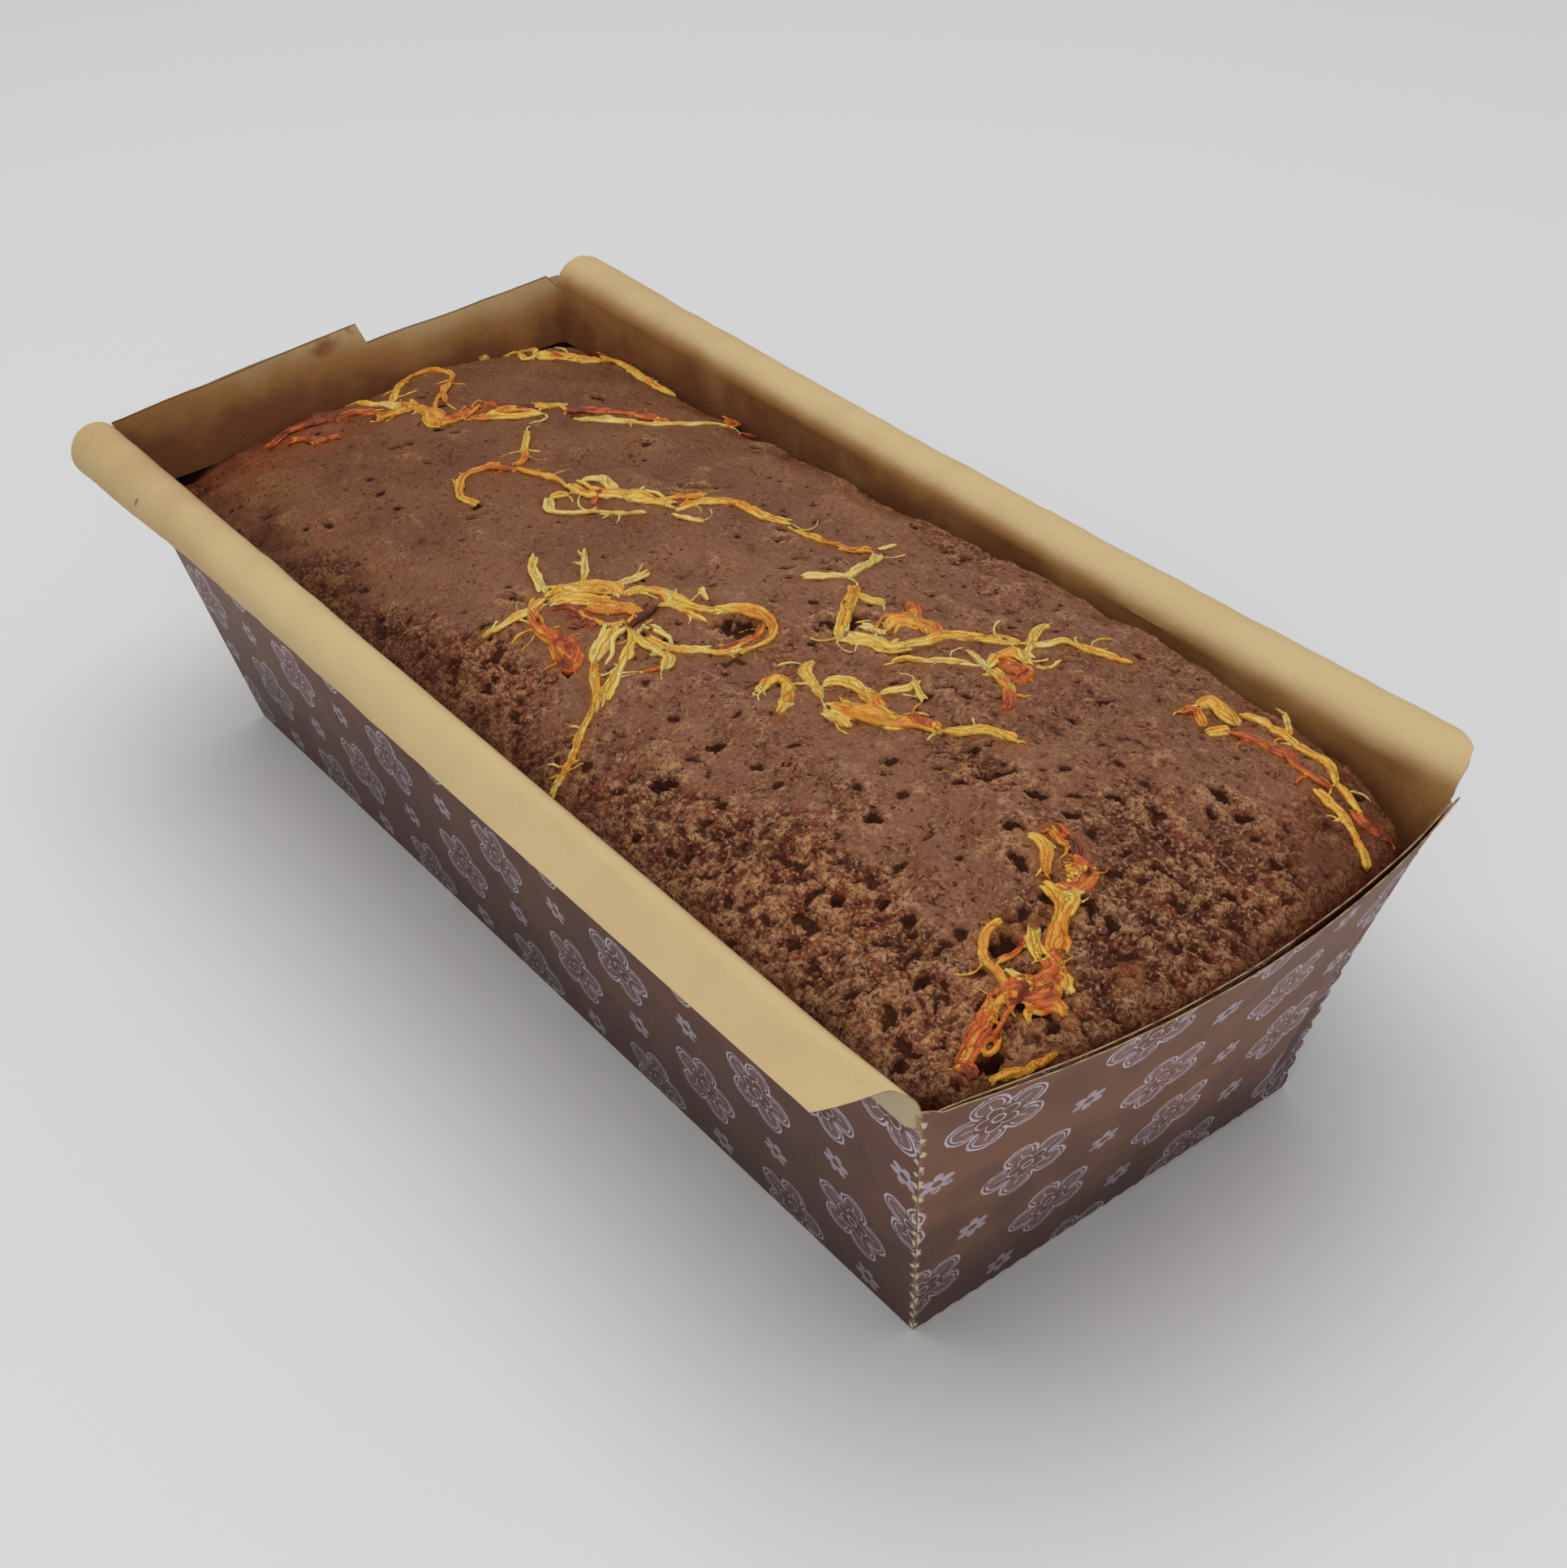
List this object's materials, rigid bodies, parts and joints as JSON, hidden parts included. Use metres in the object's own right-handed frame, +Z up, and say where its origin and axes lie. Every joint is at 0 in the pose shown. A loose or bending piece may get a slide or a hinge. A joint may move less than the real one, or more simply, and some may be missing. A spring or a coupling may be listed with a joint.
{
  "type": "loaf cake in a paper case",
  "caption": "Long domed loaf cake with baked shreds on its crust, in a flared paper case with rolled rims and a floral print",
  "frame": {"origin": "centre of the underside of the case's base, which stands on z = 0", "axes": "X along the loaf with the bowed end panel at +X, Y across it with the rim whose end is mitred on -Y, Z up"},
  "size_m": [0.2434, 0.1168, 0.0693],
  "materials": {
    "crust": "matte",
    "kraft_paper": "matte",
    "printed_paper": "matte"
  },
  "bodies": {
    "root": {"cake": "crust", "case_tray": "kraft_paper", "end_flap_near": "printed_paper", "end_flap_far": "printed_paper"}
  },
  "joints": []
}
